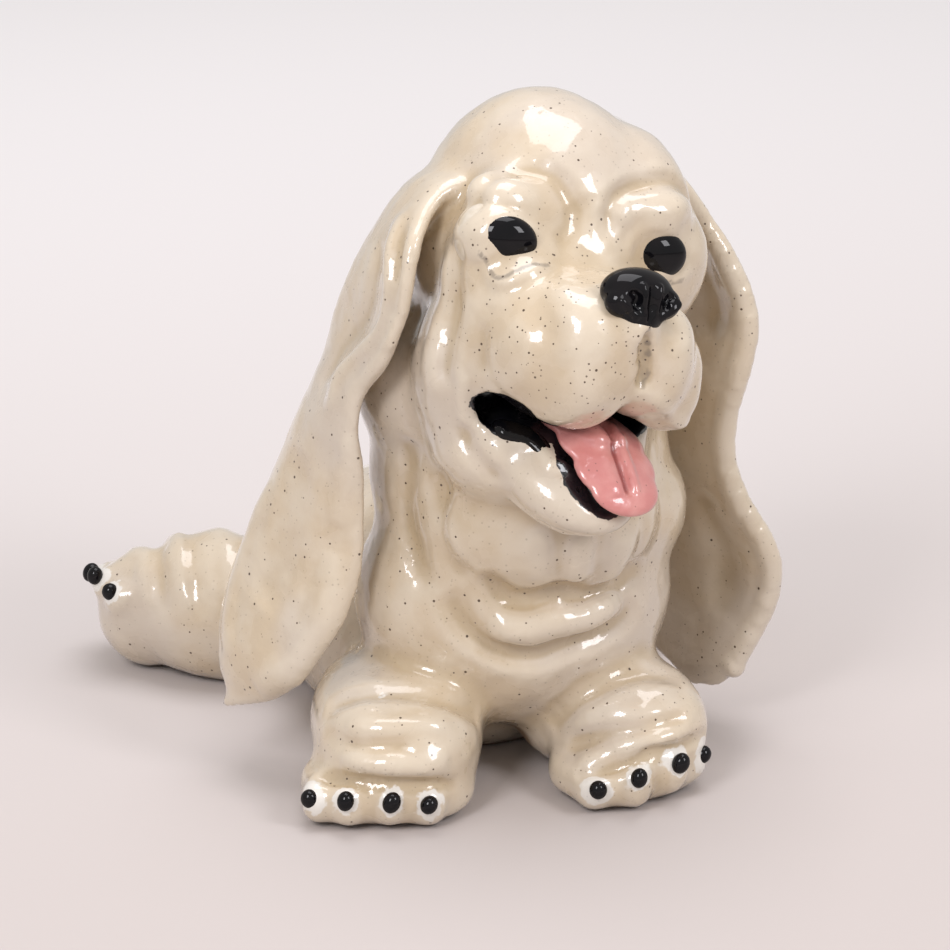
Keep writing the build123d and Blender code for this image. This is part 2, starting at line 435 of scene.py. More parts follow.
clayLook = {
    "voxel": 1.1,
    "relaxRounds": 6,
    "lastRelaxRounds": 4,
    "creaseDetail": 1.0,  # rounds go with the size of a facet
    "hollowRounds": 10,
    "hollowGain": 20,
    "borderRounds": 8,
    "smallVoxel": 0.45,
    "pieceWall": 0.7,  # each visible piece is a shell this thick
}
print("clay forms")
lumps = []
for forms in clayForms.values():
    for form in forms:
        lumps.append(addLump(*form))
earTrees = {}
for side, rows in earRows.items():
    ear = addEar(rows, side)
    earFaces = [p.vertices[:] for p in ear.data.polygons]
    earTrees[side] = BVHTree.FromPolygons([v.co for v in ear.data.vertices], earFaces)
    lumps.append(ear)

body = fuse(lumps, "dogClay", clayLook["voxel"])
print("fused", len(body.data.vertices))
clay = ClayWork(body)
clay.relax(4)
detail = clayLook["creaseDetail"]
clay.fillCreases(int(90 * detail), ((-46, -90, -90), (46, -12, 40)), "head")
clay.fillCreases(int(50 * detail), ((-70, -110, 22), (60, 10, 130)))
clay.fillCreases(int(24 * detail))
for cut in mouthCuts:
    clay.pushIn(*cut)
clay.finish()
applyModifier(body, "REMESH", mode="VOXEL", voxel_size=clayLook["voxel"] * mm, use_smooth_shade=True)
print("mouth opened", len(body.data.vertices))

clay = ClayWork(body)
clay.relax(clayLook["relaxRounds"])

# the sockets are pressed round the balls of the eyes
eyeballs = {"right": ((-30, -27.2, 2.2), 11.4), "left": ((21.5, -27.2, 0.6), 11.2)}
for centre, radius in eyeballs.values():
    clay.makeRoom("head", centre, radius + 0.4)

noseGroove = [(-3, -74, -12.5), (-2, -73, -18), (0, -71, -24.5), (1, -69, -30)]
# each stroke is a line, how wide it is and how deep, below 0 for a swell
faceStrokes = [
    # crease over each brow pad
    ([
        (-38, -26, 4), (-36, -26, 12), (-30, -24, 17), (-22.5, -24, 21), (-15, -26, 21),
        (-11, -30, 18), (-9, -33, 12.5), (-11, -36, 7), (-15, -38, 3),
    ], 5.0, 1.6),
    ([
        (1.5, -40, 6), (2, -38, 13.5), (5, -36, 19), (13, -33, 22), (23, -30, 23), (31, -28, 20),
        (37.5, -26, 15),
    ], 4.5, 2.0),
    # swell of the brow between the crease and the eye
    ([
        (-36, -30, 9.5), (-32.5, -32, 13.6), (-26, -34, 16), (-19.5, -35, 15), (-16, -37, 10.5),
    ], 7.5, -0.7),
    ([(4.7, -40, 12), (10, -39, 16.7), (18, -38, 17.8), (27.5, -35, 14)], 7.5, -1.0),
    # upper lid, lower lid, and the crease under it
    ([
        (-40, -34, 3), (-39.5, -36, 8), (-37, -37, 11.5), (-32, -38, 13), (-26, -39, 11),
        (-21, -40, 5),
    ], 2.8, -0.9),
    ([
        (-41, -35, 0), (-39.5, -38, -5), (-33, -41, -8), (-25.5, -42, -6.5), (-20, -43, -1),
    ], 3.0, -0.8),
    ([
        (-41.5, -35, -2), (-40, -38, -8), (-33, -41, -11), (-24.5, -43, -9), (-18, -44, -3),
    ], 3.4, 0.5),
    ([
        (10, -41, 1), (10, -41, 6.5), (13.5, -40, 9.5), (19, -39, 10.5), (26, -37, 8.5),
        (31, -35, 3.5),
    ], 2.8, -0.8),
    ([(11, -42, -1), (16, -42, -4), (22, -41, -5.5), (29, -39, -4.5), (33, -36, -1)], 3.0, -0.8),
    # folds that run from the brow down the side of the face
    ([
        (-45, -20, -3), (-44, -20, -15), (-43, -22, -26), (-43, -24, -37.5), (-43, -28, -44),
    ], 5.5, -0.9),
    ([(-44.5, -26, 1), (-44, -28, -13), (-42.5, -30, -27), (-42.5, -32, -41)], 5.0, 1.7),
    ([(-38, -34, -11.5), (-38.5, -34, -23), (-39.5, -34, -32), (-39, -34, -39)], 6.0, -0.7),
    ([(-34, -40, -20), (-33.5, -41, -27), (-32, -42, -33)], 4.0, 0.9),
    # hollow beside the mouth's corner, and the crease that curls below it
    ([(-35, -34, -51), (-32.5, -36, -56.5), (-26, -38, -60), (-22, -40, -62.5)], 4.5, 1.6),
    ([(-37, -36, -36), (-38, -36, -44), (-36, -36, -52)], 3.0, -1.2),
    # between the brows
    ([(-9, -34, 16), (-6, -36, 12.5), (-6, -40, 7.5), (-6, -46, 4.5)], 6.0, 1.0),
    # groove from the nose to the lip
    (noseGroove, 3.4, 2.0),
    (noseGroove, 1.6, 1.6),
    # rolled edges of the flews, and the soft hollow above them
    ([
        (-31, -42, -36), (-27, -44, -38), (-22, -48, -40), (-16, -55, -41), (-9, -62, -37),
        (-3.5, -66, -32),
    ], 4.0, -1.2),
    ([(3, -68, -30), (10, -66, -35), (20, -61, -42), (29, -56, -44)], 3.6, -1.2),
    # lower lip, its corner, and the chin's crease
    ([
        (-32, -38, -51.5), (-26, -41, -52.5), (-21, -44, -53), (-16, -48, -56), (-14, -52, -60.5),
        (-10.5, -56, -64.5), (-6, -63, -67),
    ], 3.0, -1.6),
    ([(-22.5, -44, -72), (-18.5, -50, -74.5), (-13, -54, -75.5), (-6.5, -60, -71.5)], 3.0, -1.4),
]
clay.strokes("head", faceStrokes)

bodyStrokes = [
    # folds of the chest
    ([
        (-24, -76, 66), (-18, -80, 55), (-9, -83, 48), (2, -84, 46), (10, -84, 48), (22, -82, 51),
        (36, -76, 57),
    ], 6.5, 3.5),
    ([
        (-14, -84, 74), (-8, -84, 66), (1, -86, 64), (9, -86, 67), (18, -84, 63), (28, -80, 64),
        (37, -74, 70),
    ], 6.0, 3.0),
    ([(-12, -84, 57), (-2, -86, 55), (8, -87, 57), (20, -84, 57), (30, -80, 62)], 7.0, -3.5),
    ([(6, -92, 92), (7, -92, 80), (8, -87, 68)], 5.0, 1.2),
    ([(20, -92, 90), (19, -91, 78), (19, -84, 66)], 5.0, 1.0),
    ([(-2, -92, 88), (-1, -92, 80), (0, -88, 71)], 6.0, -1.0),
    ([(13, -93, 86), (13, -92, 77), (13, -87, 70)], 6.0, -1.0),
    ([(28, -88, 84), (27, -86, 76), (24, -82, 68)], 6.0, -1.0),
    ([(36, -84, 88), (34, -82, 76), (30, -78, 66)], 5.0, 1.0),
    # long folds of the neck
    ([(-34, -66, 110), (-34, -62, 96), (-33, -62, 82), (-28, -72, 66)], 6.0, 1.9),
    ([(-26, -80, 108), (-26, -74, 94), (-25, -76, 80), (-19, -82, 70)], 6.0, 1.6),
    # forelegs
    ([(-58, -70, 30), (-50, -76, 36), (-38, -80, 38), (-24, -84, 35), (-14, -80, 27)], 6.0, 2.2),
    ([(-61, -76, 26), (-56, -88, 26), (-47, -94, 27), (-38, -96, 26)], 4.5, 1.4),
    ([(-57, -84, 31), (-48, -90, 32), (-36, -92, 32), (-26, -92, 30)], 5.0, -1.3),
    ([(-60, -87, 21), (-50, -95, 21), (-40, -97, 21), (-28, -96, 21)], 5.0, -1.6),
    ([
        (-66, -81, 15), (-60, -88, 16), (-51, -94, 16), (-43, -97, 16), (-33, -97, 15),
        (-25, -94, 13),
    ], 3.0, 2.2),
    ([(8, -74, 20), (14, -80, 29), (24, -82, 35), (36, -80, 36), (47, -80, 32)], 6.0, 1.8),
    ([(10, -84, 18), (20, -92, 23), (33, -97, 26), (46, -93, 26)], 4.5, 1.4),
    ([(12, -90, 16), (22, -97, 20), (34, -100, 22), (47, -95, 23)], 4.5, -1.4),
    ([(9, -94, 12), (20, -99, 15.5), (32, -100, 18), (45, -94, 19), (52, -86, 18)], 3.0, 2.0),
]
clay.strokes("body", bodyStrokes)

earStrokes = [
    # the right ear's rolled front edge, in two ridges with a valley between
    ([
        (-32, -58, 178), (-36, -64, 170), (-39, -70, 160), (-39, -70, 151), (-42, -68, 144),
        (-47, -60, 137), (-51, -54, 129), (-55, -56, 119),
    ], 5.0, -2.0),
    ([
        (-30, -70, 176), (-34, -75, 167), (-36, -77, 158), (-38, -77, 150), (-42, -74, 140),
    ], 4.0, -1.5),
    ([
        (-32, -65, 175), (-36, -70, 166), (-38, -73, 157), (-40, -72, 148), (-44, -68, 139),
    ], 3.2, 1.6),
    ([
        (-40, -56, 170), (-44, -58, 158), (-46, -56, 147), (-51, -46, 136), (-56, -42, 124),
    ], 6.0, 1.6),
    ([(-48, -62, 112), (-50, -60, 98), (-52, -60, 84)], 6.0, -1.0),
    ([(-60, -46, 104), (-64, -46, 88), (-68, -46, 70), (-72, -44, 56)], 12.0, 1.8),
    ([(-52, -60, 76), (-56, -62, 62), (-61, -62, 50), (-67, -58, 40), (-75, -48, 32)], 7.0, -1.8),
    ([(-72, -30, 92), (-79, -30, 70), (-83, -32, 52), (-80, -38, 38)], 6.0, -1.4),
    # the left ear's outer rim and its hollow
    ([
        (58, -43, 176), (65, -44, 166), (70, -46, 159), (75.6, -49, 152), (79.6, -51, 141),
        (80.5, -51, 131), (78.5, -51, 121), (76, -50, 110), (74.5, -49, 99), (74.7, -49, 89),
        (78.5, -50, 78), (85.5, -52, 68), (90, -52, 57), (87, -51, 41), (82, -49, 28),
        (78, -47, 19),
    ], 6.0, -2.6),
    ([
        (63, -36, 160), (67, -37, 151), (71, -39, 139), (73, -39, 126), (72, -38, 113),
        (70, -37, 100), (69, -37, 87), (71, -38, 74), (75, -40, 61), (76, -40, 48), (75, -40, 36),
    ], 9.0, 2.2),
    ([(78, -46, 23), (77, -45, 18)], 6.0, -2.0),
]
clay.strokes("body", earStrokes)

for side in (-1, 1):  # wrinkles over the hind legs
    for reach, swell in ((94, -0.8), (87, 1.5), (80, -1.0), (76, 0.8), (67, -0.9), (60, 1.0)):
        x = side * reach
        y = 48 + (reach - 66) * 0.6
        overLeg = [(x, y - 22, 26), (x, y - 10, 40), (x, y + 6, 44), (x, y + 20, 34)]
        clay.stroke("body", overLeg, 4.5, swell)

clay.relax(clayLook["lastRelaxRounds"], step=0.4)
clay.finish()
for size, height in ((0.020, 1.0), (0.008, 0.45), (0.0035, 0.10)):  # finger marks, large and small
    marks = bpy.data.textures.new("fingerMarks", "CLOUDS")
    marks.noise_scale = size
    applyModifier(body, "DISPLACE", texture=marks, strength=height * mm, mid_level=0.5)
clay = ClayWork(body)
clay.co[:, 2] = np.maximum(clay.co[:, 2], 0)
clay.refresh()
print("modelled")

# marks for the glazes are one number at each point of the clay
hindClaws = [(104, 51.5, 30), (107.5, 60, 33), (107, 72, 30), (103, 81, 24)]
clawPlaces = {
    "right_forepaw": [(-68, -87, 10), (-59, -95, 11.5), (-46, -98.5, 11), (-35, -99.5, 9.5)],
    "left_forepaw": [(16, -101.5, 9.5), (28, -103.5, 12.8), (42.5, -98.5, 14), (52.5, -89, 12)],
    "right_hindpaw": [(-x, y, z) for x, y, z in hindClaws],
    "left_hindpaw": hindClaws,
}


def closeness(points, reach):  # 1 at the line, 0 at the reach
    which, gap, _ = clay.distances(np.asarray(points, dtype=float), reach)
    out = np.zeros(clay.count)
    out[which] = 1 - gap / reach
    return out


def hollowness(work):  # above 0 in creases, below 0 on ridges
    value = ((work.average(work.co) - work.co) * work.no).sum(1, keepdims=True)
    for _ in range(clayLook["hollowRounds"] - 1):
        value = work.average(value)
    return np.clip(value[:, 0] * clayLook["hollowGain"], -1, 1)


# dark lines along the nose groove and the lower lids, with how far each reaches
darkLines = [
    (noseGroove, 1.5),
    ([
        (-40, -37, -0.8), (-38, -40, -4.4), (-32, -42, -6.2), (-25.7, -43, -4), (-19.7, -44, 0),
    ], 1.5),
    ([(12, -42, -2), (17, -42, -5.5), (23, -41, -7), (30, -39, -5)], 1.2),
]
markNames = ("hollow", "halo", "darkLine", "mouth", "bare", "specked")
glazeMarks = {name: np.zeros(clay.count) for name in markNames}
glazeMarks["hollow"] = hollowness(clay)
for name, places in clawPlaces.items():
    for place in places:
        centre = clay.snap([place])
        glazeMarks["halo"] = np.maximum(glazeMarks["halo"], closeness(centre, 8.0))
for points, reach in darkLines:
    line = clay.snap(clay.toWorld("head", catmull(points, 6)))
    glazeMarks["darkLine"] = np.maximum(glazeMarks["darkLine"], closeness(line, reach))
for where, centre, halfSizes, turn in mouthCuts:
    place = np.array(frames[where] @ Matrix.Translation(Vector(centre) * mm) @ turnOf(turn))
    q = (clay.co - place[:3, 3] / mm) @ place[:3, :3] / np.asarray(halfSizes, dtype=float)
    ahead = np.clip(-q[:, 1] - 1.0, 0, None)
    near = 1.22 - np.sqrt((q**2).sum(1)) - ahead
    glazeMarks["mouth"] = np.maximum(glazeMarks["mouth"], np.clip(near / 0.3, 0, 1))
underside = np.clip(1 - clay.co[:, 2] / 3, 0, 1)
glazeMarks["bare"] = np.maximum(underside, closeness([(-2, -76, 4), (0, -60, 8)], 15))
glazeMarks["specked"] = closeness(clay.toWorld("head", [(-20, -46, -16), (-4, -60, -10)]), 40)


def writeMarks(mesh, marks):
    for name, values in marks.items():
        layer = mesh.attributes.new(name, "FLOAT", "POINT")
        layer.data.foreach_set("value", np.ascontiguousarray(values, dtype=np.float32))


class Wire:  # a socket that can be added, multiplied and so on
    def __init__(self, glaze, socket):
        self.glaze, self.socket = glaze, socket

    def reckon(self, kind, first, second=0.0):
        return self.glaze.node("ShaderNodeMath", {"operation": kind}, {0: first, 1: second}).wire()

    def __add__(self, other):
        return self.reckon("ADD", self, other)

    def __sub__(self, other):
        return self.reckon("SUBTRACT", self, other)

    def __mul__(self, other):
        return self.reckon("MULTIPLY", self, other)

    def __radd__(self, other):
        return self.reckon("ADD", other, self)

    def __rsub__(self, other):
        return self.reckon("SUBTRACT", other, self)

    def __rmul__(self, other):
        return self.reckon("MULTIPLY", other, self)

    def between(self, low, high):  # 0 at low, 1 at high, smooth
        settings = {"interpolation_type": "SMOOTHSTEP"}
        values = {"Value": self, "From Min": low, "From Max": high}
        return self.glaze.node("ShaderNodeMapRange", settings, values).wire("Result")


class Made:  # a node just made
    def __init__(self, glaze, node):
        self.glaze, self.node = glaze, node

    def wire(self, name=0):
        return Wire(self.glaze, self.node.outputs[name])


class Glaze:
    def __init__(self, name):
        self.material = bpy.data.materials.new(name)
        self.material.use_nodes = True
        self.tree = self.material.node_tree
        self.shader = self.tree.nodes["Principled BSDF"]
        self.place = self.node("ShaderNodeTexCoord", {}, {}).wire("Object")

    def node(self, kind, settings, values):
        made = self.tree.nodes.new(kind)
        for key, value in settings.items():
            setattr(made, key, value)
        for key, value in values.items():
            self.plug(made.inputs[key], value)
        return Made(self, made)

    def plug(self, socket, value):
        if isinstance(value, Wire):
            self.tree.links.new(value.socket, socket)
        else:
            socket.default_value = value

    def set(self, **values):  # shader sockets, with _ for a space
        for key, value in values.items():
            self.plug(self.shader.inputs[key.replace("_", " ")], value)

    def noise(self, scale, detail=2.0, roughness=0.5):
        values = {"Vector": self.place, "Scale": scale, "Detail": detail, "Roughness": roughness}
        return self.node("ShaderNodeTexNoise", {}, values).wire(0)

    def mark(self, name):
        return self.node("ShaderNodeAttribute", {"attribute_name": name}, {}).wire("Fac")

    def blend(self, share, first, second):
        first = (*first, 1) if isinstance(first, tuple) else first
        second = (*second, 1) if isinstance(second, tuple) else second
        return self.node("ShaderNodeMix", {"data_type": "RGBA"}, {0: share, 6: first, 7: second}).wire(2)

    def specks(self, scale, radius, share):  # dots in some of the cells
        cells = self.node("ShaderNodeTexVoronoi", {}, {"Vector": self.place, "Scale": scale})
        size = self.node("ShaderNodeSeparateColor", {}, {0: cells.wire("Color")})
        chosen = size.wire(0).between(1 - share, 1.02 - share)
        wide = radius * (0.5 + 0.5 * size.wire(1)) * chosen
        return chosen * (1 - (cells.wire("Distance") - wide).between(0.0, 0.04))

    def bump(self, height, distance):
        made = self.node("ShaderNodeBump", {}, {"Height": height, "Distance": distance * mm})
        self.plug(self.shader.inputs["Normal"], made.wire("Normal"))


def makeCream():
    look = {
        "cream": (0.545, 0.440, 0.310), "pale": (0.605, 0.515, 0.395), "milkyToneAndSheen": (0.530, 0.465, 0.400),
        "pooled": (0.400, 0.295, 0.165), "ridge": (0.630, 0.550, 0.440), "speck": (0.080, 0.050, 0.030),
        "halo": (0.740, 0.715, 0.670), "darkLine": (0.075, 0.065, 0.060), "bare": (0.150, 0.085, 0.045),
        "black": (0.006, 0.006, 0.008),
    }
    glaze = Glaze("creamGlaze")
    broad, mottled, fine = glaze.noise(16, 3), glaze.noise(70, 3), glaze.noise(420, 2)
    colour = glaze.blend(mottled.between(0.35, 0.7), look["cream"], look["pale"])
    # broad greyish-lavender patches: partly a random milky glaze tone, partly a painted reflection of the
    # lamps' milky sheen
    colour = glaze.blend(broad.between(0.48, 0.62) * 0.6, colour, look["milkyToneAndSheen"])
    hollow = glaze.mark("hollow")
    colour = glaze.blend((hollow + mottled * 0.2).between(0.12, 0.75) * 0.55, colour, look["pooled"])
    colour = glaze.blend((-1 * hollow).between(0.15, 0.7) * 0.5, colour, look["ridge"])
    thick = glaze.mark("specked").between(0.1, 0.6)
    dots = glaze.specks(300, 0.11, 0.6) + glaze.specks(600, 0.19, 0.6) * (0.35 + 0.65 * thick)
    colour = glaze.blend((dots * 0.8).between(0.0, 0.9), colour, look["speck"])
    halo = (glaze.mark("halo") + (fine - 0.5) * 0.5 + (mottled - 0.5) * 1.1).between(0.36, 0.48)
    colour = glaze.blend(halo * 0.85, colour, look["halo"])
    # dark lines along the nose groove and the lower lids
    darkLine = (glaze.mark("darkLine") + (fine - 0.5) * 0.6).between(0.25, 0.8)
    colour = glaze.blend(darkLine * 0.5, colour, look["darkLine"])
    mouth = (glaze.mark("mouth") + (mottled - 0.5) * 0.5 + (fine - 0.5) * 0.4).between(0.45, 0.5)
    colour = glaze.blend(mouth, colour, look["black"])
    bare = (glaze.mark("bare") + (mottled - 0.5) * 0.5).between(0.45, 0.6)
    colour = glaze.blend(bare * 0.9, colour, look["bare"])
    glaze.set(Base_Color=colour, Roughness=0.22 + mottled * 0.12 + bare * 0.4)
    glaze.set(Coat_Weight=1 - bare * 0.8, Coat_Roughness=0.045, Specular_IOR_Level=0.3)
    glaze.bump(glaze.noise(95, 3) * 0.7 + mottled * 0.5 + fine * 0.10 - dots * 0.12, 0.55)
    return glaze.material


def makeGloss(name, dark, light, scale, roughness, height, shine=0.5):
    glaze = Glaze(name)
    mottled = glaze.noise(scale, 3)
    glaze.set(Base_Color=glaze.blend(mottled.between(0.35, 0.7), dark, light))
    glaze.set(Roughness=roughness + mottled * 0.1, Specular_IOR_Level=0.0)
    glaze.set(Coat_Weight=shine, Coat_Roughness=0.03)
    glaze.bump(glaze.noise(scale * 1.7, 2), height)
    return glaze.material


def makePink():
    look = {
        "pink": (0.560, 0.205, 0.190), "rose": (0.620, 0.270, 0.245),
        "groove": (0.300, 0.065, 0.060), "speck": (0.2, 0.09, 0.07),
    }
    glaze = Glaze("pinkGlaze")
    mottled = glaze.noise(150, 3)
    colour = glaze.blend(mottled.between(0.35, 0.7), look["pink"], look["rose"])
    colour = glaze.blend(glaze.mark("hollow").between(0.15, 0.8), colour, look["groove"])
    colour = glaze.blend(glaze.specks(420, 0.12, 0.3) * 0.6, colour, look["speck"])
    glaze.set(Base_Color=colour, Roughness=0.25 + mottled * 0.1, Coat_Weight=1.0, Coat_Roughness=0.05)
    glaze.bump(glaze.noise(260, 3), 0.35)
    return glaze.material


cream = makeCream()
black = makeGloss("blackGlaze", (0.003, 0.003, 0.004), (0.006, 0.005, 0.006), 160, 0.3, 0.25)
mouthBlack = makeGloss("mouthGlaze", (0.003, 0.003, 0.004), (0.009, 0.007, 0.006), 120, 0.35, 0.6)
eyeWhite = makeGloss("eyeGlaze", (0.560, 0.480, 0.365), (0.650, 0.585, 0.490), 180, 0.2, 0.2, 1.0)
pink = makePink()

# the clay is parted where one lump meets the next
parting = {
    "foldSkin": 1.5,  # a fold or an ear takes this much more than its own form
    "earSkin": 4.5,
    "earReach": 20.0,
    "earsFrom": 8.0,  # nothing nearer the middle or the ground is ear
    "far": 99.0,
    "mouthDepth": -60.0,  # deeper than any lump, so the lining wins where the mouth's mark is strong
    "mouthShare": 0.85,
    "ownShare": 0.4,  # of a point's depth, when borders are softened
    "toeFaces": 120,  # islands of toes of this many faces or more stay
    "crumbRounds": 3,
    "growRounds": 400,
}
nodeOf = {
    "trunk": "trunk_shell", "tail": "tail", "chest": "chest_shell",
    "neck": "neck_shell", "skull": "skull_shell",
    "rightCheek": "right_cheek", "leftCheek": "left_cheek", "muzzle": "muzzle",
    "rightBrow": "right_brow", "leftBrow": "left_brow",
    "rightFlew": "right_flew", "leftFlew": "left_flew",
    "jaw": "lower_jaw", "rightForeleg": "right_foreleg", "leftForeleg": "left_foreleg",
    "rightForepaw": "right_forepaw", "leftForepaw": "left_forepaw",
    "rightForeToes": "right_forepaw_toes", "leftForeToes": "left_forepaw_toes",
    "rightHindleg": "right_hindleg", "leftHindleg": "left_hindleg",
    "rightHindpaw": "right_hindpaw", "leftHindpaw": "left_hindpaw",
    "rightHindToes": "right_hindpaw_toes", "leftHindToes": "left_hindpaw_toes",
}
foldForms = {  # loose skin that belongs to no single lump
    "throat_fold": [("body", (12, -74, 76), (30, 14, 11), (0, 10, 8))],
    "chest_fold": [("body", (4, -78, 54), (24, 12, 10), (0, 4, 4))],
    "right_lower_lid": [("head", (-31, -38, -4.5), (9.5, 6, 3.2), (0, 6, -20))],
    "left_lower_lid": [("head", (22, -38, -5.5), (9.5, 6, 3.2), (0, -4, 12))],
}


def lumpDepth(points, form):  # how far outside an ellipsoid, about, in millimetres
    where, centre, halfSizes = form[:3]
    turn = form[3] if len(form) > 3 else (0, 0, 0)
    place = np.array(frames[where] @ Matrix.Translation(Vector(centre) * mm) @ turnOf(turn))
    half = np.asarray(halfSizes, dtype=float)
    q = (points - place[:3, 3] / mm) @ place[:3, :3] / half
    return (np.sqrt((q**2).sum(1)) - 1) * half.mean()


depths = {}
for region, forms in clayForms.items():
    depths[nodeOf[region]] = np.minimum.reduce([lumpDepth(clay.co, form) for form in forms])
for node, forms in foldForms.items():
    depths[node] = lumpDepth(clay.co, forms[0]) - parting["foldSkin"]
for side, tree in earTrees.items():
    gap = np.full(clay.count, parting["far"])
    sign = -1 if side == "right" else 1
    outside = (clay.co[:, 0] * sign > parting["earsFrom"]) & (clay.co[:, 2] > parting["earsFrom"])
    for i in np.where(outside)[0]:
        hit = tree.find_nearest(Vector(clay.co[i] * mm), parting["earReach"] * mm)
        if hit[0] is not None:
            gap[i] = hit[3] / mm
    depths[f"{side}_ear"] = gap - parting["earSkin"]
inMouth = glazeMarks["mouth"] > parting["mouthShare"]
depths["mouth_pocket"] = np.where(inMouth, parting["mouthDepth"], parting["far"])
nodeNames = list(depths)
table = np.stack([depths[node] for node in nodeNames], axis=1)
for _ in range(clayLook["borderRounds"]):  # softer borders
    table = parting["ownShare"] * table + (1 - parting["ownShare"]) * clay.average(table)
print("borders")

mesh = body.data
corners = np.array([p.vertices[:] for p in mesh.polygons if len(p.vertices) == 4], dtype=np.int64)
label = np.stack([table[corners[:, i]] for i in range(4)]).sum(0).argmin(1)
# faces that share an edge
pairs = np.sort(np.concatenate([corners[:, [i, (i + 1) % 4]] for i in range(4)]), axis=1)
owner = np.tile(np.arange(len(corners)), 4)
order = np.lexsort((pairs[:, 1], pairs[:, 0]))
pairs, owner = pairs[order], owner[order]
same = np.all(pairs[1:] == pairs[:-1], axis=1)
near1, near2 = owner[:-1][same], owner[1:][same]
for _ in range(parting["crumbRounds"]):  # crumbs go to the piece around them
    island = np.arange(len(corners))
    joined = label[near1] == label[near2]
    m, n = near1[joined], near2[joined]
    while True:
        before = island.copy()
        low = np.minimum(island[m], island[n])
        np.minimum.at(island, m, low)
        np.minimum.at(island, n, low)
        island = island[island]
        if np.array_equal(before, island):
            break
    sizes = np.bincount(island, minlength=len(corners))[island]
    largest = np.zeros(len(nodeNames))
    np.maximum.at(largest, label, sizes)
    allowed = np.array([parting["toeFaces"] if "toes" in node else np.inf for node in nodeNames])
    crumb = (sizes < largest[label]) & (sizes < allowed[label])
    if not crumb.any():
        break
    for _ in range(parting["growRounds"]):
        edge = crumb[near1] & ~crumb[near2]
        label[near1[edge]] = label[near2[edge]]
        crumb[near1[edge]] = False
        edge = crumb[near2] & ~crumb[near1]
        label[near2[edge]] = label[near1[edge]]
        crumb[near2[edge]] = False
        if not edge.any() and not crumb.any():
            break

made = {}
for index, node in enumerate(nodeNames):
    quads = corners[label == index]
    used, flat = np.unique(quads, return_inverse=True)
    flat = flat.reshape(-1, 4)
    outer = clay.co[used]
    inner = outer - clay.no[used] * clayLook["pieceWall"]
    edges = np.concatenate([flat[:, [i, (i + 1) % 4]] for i in range(4)])
    keys = np.sort(edges, axis=1)
    _, first, count = np.unique(keys, axis=0, return_index=True, return_counts=True)
    rim = edges[first[count == 1]]
    n = len(used)
    sides = np.stack([rim[:, 1], rim[:, 0], rim[:, 0] + n, rim[:, 1] + n], axis=1)
    faces = np.concatenate([flat, flat[:, ::-1] + n, sides])
    shell = bpy.data.meshes.new(node)
    shell.from_pydata((np.concatenate([outer, inner]) * mm).tolist(), [], faces.tolist())
    shell.polygons.foreach_set("use_smooth", [True] * len(faces))
    normals = np.concatenate([clay.no[used], -clay.no[used]])
    shell.normals_split_custom_set_from_vertices(normals.tolist())
    writeMarks(shell, {name: np.tile(values[used], 2) for name, values in glazeMarks.items()})
    piece = bpy.data.objects.new(node, shell)
    bpy.context.collection.objects.link(piece)
    piece.data.materials.append(mouthBlack if node == "mouth_pocket" else cream)
    made[node] = piece
bpy.data.objects.remove(body)
print("parted", len(made))


# small pieces are sculpted on their own
def sculpt(name, forms, voxel, material, rounds=4, creases=0):
    ob = fuse([addLump(*form) for form in forms], name, voxel)
    work = ClayWork(ob)
    work.relax(rounds)
    work.fillCreases(creases)
    ob.data.materials.clear()
    ob.data.materials.append(material)
    made[name] = ob
    return work


fineness = clayLook["smallVoxel"]
for side, (centre, radius) in eyeballs.items():
    sculpt(f"{side}_eyeball", [("head", centre, (radius,) * 3)], fineness, eyeWhite).finish()
irises = {
    "right": [("head", (-31.0, -34.4, 3.4), (9.8, 5.2, 7.6), (10, 0, -26))],
    "left": [("head", (21.4, -34.6, 1.9), (8.8, 5.2, 7.5), (8, 0, -14))],
}
for side, forms in irises.items():
    sculpt(f"{side}_iris", forms, fineness * 0.7, black).finish()

noseForms = [
    ("head", (-4.2, -66, -3.2), (11.2, 8, 7.0)),
    ("head", (-3.8, -69.5, -8.8), (7.2, 5, 5.4)),
    ("head", (-10.2, -69, -5.4), (5.6, 4.4, 4.8)),
    ("head", (2.6, -69.5, -5.4), (5.6, 4.4, 4.8)),
]
noseStrokes = [
    ([(-3.6, -75, 2), (-3.4, -76, -4), (-3.4, -75, -11)], 1.4, 1.2),
    ([(-11, -74, -1), (-8.5, -75, -3.5), (-8.6, -74, -7)], 1.7, 1.8),
    ([(4, -74, -1), (1.8, -75, -3.5), (2, -74, -7)], 1.7, 1.8),
    ([(-13.5, -72, -4), (-10.5, -74, -6.5), (-7, -74, -9.5)], 1.8, -1.1),
    ([(6.5, -72, -4), (4, -74, -6.5), (0.5, -74, -9.5)], 1.8, -1.1),
    ([(-7, -74, 2.5), (-6.2, -75, -2), (-5.8, -75, -7)], 1.2, -0.7),
    ([(0, -74, 2.5), (-0.8, -75, -2), (-1.2, -75, -7)], 1.2, -0.7),
]
work = sculpt("nose", noseForms, fineness, black, 4, 20)
work.strokes("head", noseStrokes)
work.relax(2)
work.finish()

tongueForms = [
    ("head", (-1, -44, -47), (13, 16, 3.4), (6, 0, 0)),
    ("head", (0.5, -53, -50.5), (14, 13, 3.4), (26, 0, 0)),
    ("head", (1.5, -61, -56), (13.5, 11, 3.4), (42, 0, 0)),
    ("head", (2.5, -66, -60.5), (11.5, 9, 3.2), (48, 0, 0)),
]
tongueStrokes = [  # a groove with a swell on each side of it
    ([(1.5, -50, -45), (1.5, -60, -51), (2, -66, -57), (2, -70, -62)], 2.6, 2.0),
    ([(4.2, -50, -45), (4.2, -60, -51), (4.6, -66, -57), (4.4, -70, -61)], 2.2, -0.8),
    ([(-3, -50, -45), (-3.2, -60, -51), (-2.6, -66, -58), (-2, -70, -62)], 4.0, -0.8),
]
work = sculpt("tongue", tongueForms, fineness * 1.2, pink, 6, 60)
work.strokes("head", tongueStrokes)
work.relax(3)
work.finish()
writeMarks(made["tongue"].data, {"hollow": hollowness(work)})

